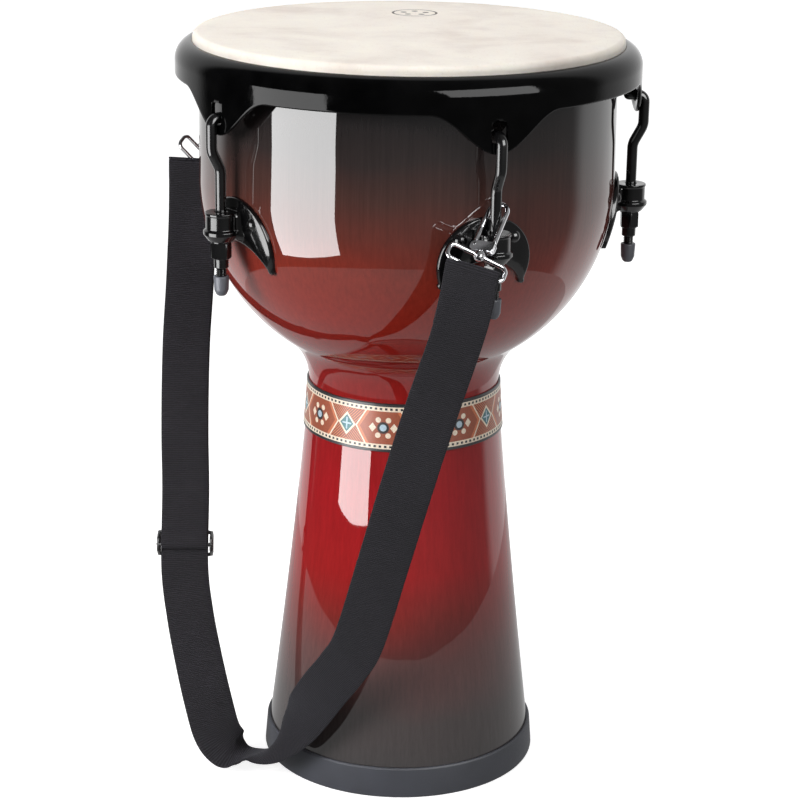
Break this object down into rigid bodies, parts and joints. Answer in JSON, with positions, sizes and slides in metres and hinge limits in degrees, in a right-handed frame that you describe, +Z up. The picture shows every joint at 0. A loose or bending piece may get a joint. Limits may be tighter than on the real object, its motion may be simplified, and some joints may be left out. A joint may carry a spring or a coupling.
{
  "type": "djembe",
  "caption": "Goblet hand drum with a hook-tuned skin head, black rim and lugs, rubber foot, patterned waist band and a clip-on carrying strap.",
  "frame": {"origin": "on the floor under the middle of the foot", "axes": "+Z up along the drum, -Y towards the front, where the strap crosses"},
  "size_m": [0.3799, 0.3786, 0.578],
  "materials": {
    "shell_lacquer": "high-gloss sunburst lacquer, charcoal at the top and foot, red in the middle",
    "foot_rubber": "matt moulded rubber",
    "band_print": "printed woven-look band with diamonds on a hatched ground",
    "skin": "scraped natural skin, cloudy cream",
    "hoop_steel": "plain steel",
    "black_enamel": "glossy black enamel",
    "black_steel": "black plated steel, semi-gloss",
    "zinc": "zinc plated",
    "cap_rubber": "soft grey rubber",
    "webbing": "ribbed black nylon webbing",
    "slider_black": "black painted wire",
    "chrome": "bright chrome"
  },
  "bodies": {
    "drum": {"shell": "shell_lacquer", "foot_ring": "foot_rubber", "waist_band": "band_print", "side_plate_1": "black_enamel", "side_plate_2": "black_enamel", "side_plate_3": "black_enamel", "side_plate_4": "black_enamel", "side_plate_5": "black_enamel", "plate_bolts": "black_steel", "plate_washers": "zinc", "plate_nuts": "zinc", "rod_washers": "black_steel", "strap_webbing": "webbing", "front_loop": "chrome", "rear_loop": "chrome"},
    "tuned_head": {"rim": "black_enamel", "flesh_hoop": "hoop_steel", "head_skin": "skin", "hook_1": "black_steel", "hook_2": "black_steel", "hook_3": "black_steel", "hook_4": "black_steel", "hook_5": "black_steel", "rod_cap_1": "cap_rubber", "rod_cap_2": "cap_rubber", "rod_cap_3": "cap_rubber", "rod_cap_4": "cap_rubber", "rod_cap_5": "cap_rubber"},
    "slider": {"strap_slider": "slider_black"},
    "front_swivel": {"front_snap": "chrome", "front_gate_pin": "chrome"},
    "rear_swivel": {"rear_snap": "chrome", "rear_gate_pin": "chrome"},
    "front_keeper": {"front_gate": "chrome"},
    "rear_keeper": {"rear_gate": "chrome"},
    "nut_1": {"tension_nut_1": "black_steel"},
    "nut_2": {"tension_nut_2": "black_steel"},
    "nut_3": {"tension_nut_3": "black_steel"},
    "nut_4": {"tension_nut_4": "black_steel"},
    "nut_5": {"tension_nut_5": "black_steel"}
  },
  "joints": [
    {"name": "head_lift", "type": "slide", "parent": "drum", "child": "tuned_head", "axis": [0, 0, 1], "range_m": [0, 0.005]},
    {"name": "nut_turn_1", "type": "hinge", "parent": "drum", "child": "nut_1", "pos_m": [0.06184, -0.15943, 0.432], "axis": [0, 0, 1], "range_deg": [-1440, 0]},
    {"name": "nut_turn_2", "type": "hinge", "parent": "drum", "child": "nut_2", "pos_m": [0.17073, 0.00954, 0.432], "axis": [0, 0, 1], "range_deg": [-1440, 0]},
    {"name": "nut_turn_3", "type": "hinge", "parent": "drum", "child": "nut_3", "pos_m": [0.04368, 0.16533, 0.432], "axis": [0, 0, 1], "range_deg": [-1440, 0]},
    {"name": "nut_turn_4", "type": "hinge", "parent": "drum", "child": "nut_4", "pos_m": [-0.14374, 0.09263, 0.432], "axis": [0, 0, 1], "range_deg": [-1440, 0]},
    {"name": "nut_turn_5", "type": "hinge", "parent": "drum", "child": "nut_5", "pos_m": [-0.13252, -0.10808, 0.432], "axis": [0, 0, 1], "range_deg": [-1440, 0]},
    {"name": "slider_slide", "type": "slide", "parent": "drum", "child": "slider", "axis": [0, 0.2426, 0.9701], "range_m": [0, 0.03]},
    {"name": "front_snap_swivel", "type": "hinge", "parent": "drum", "child": "front_swivel", "pos_m": [0.06184, -0.15943, 0.4746], "axis": [-0.3243, -0.7182, -0.6157], "range_deg": [-12, 12]},
    {"name": "front_gate_hinge", "type": "hinge", "parent": "front_swivel", "child": "front_keeper", "pos_m": [0.04761, -0.17635, 0.45798], "axis": [-0.2534, -0.5611, 0.788], "range_deg": [-20, 0], "stiffness_Nm_per_rad": 0.04, "springref_deg": 20.05},
    {"name": "rear_snap_swivel", "type": "hinge", "parent": "drum", "child": "rear_swivel", "pos_m": [-0.14374, 0.09263, 0.489], "axis": [-0.4516, -0.6798, -0.5779], "range_deg": [-12, 12]},
    {"name": "rear_gate_hinge", "type": "hinge", "parent": "rear_swivel", "child": "rear_keeper", "pos_m": [-0.16093, 0.0776, 0.4734], "axis": [-0.3198, -0.4813, 0.8161], "range_deg": [-20, 0], "stiffness_Nm_per_rad": 0.04, "springref_deg": 20.05}
  ],
  "couplings": [
    {"joint": "nut_turn_1", "follows": "head_lift", "rad_per_m": -5026.5},
    {"joint": "nut_turn_2", "follows": "head_lift", "rad_per_m": -5026.5},
    {"joint": "nut_turn_3", "follows": "head_lift", "rad_per_m": -5026.5},
    {"joint": "nut_turn_4", "follows": "head_lift", "rad_per_m": -5026.5},
    {"joint": "nut_turn_5", "follows": "head_lift", "rad_per_m": -5026.5}
  ]
}
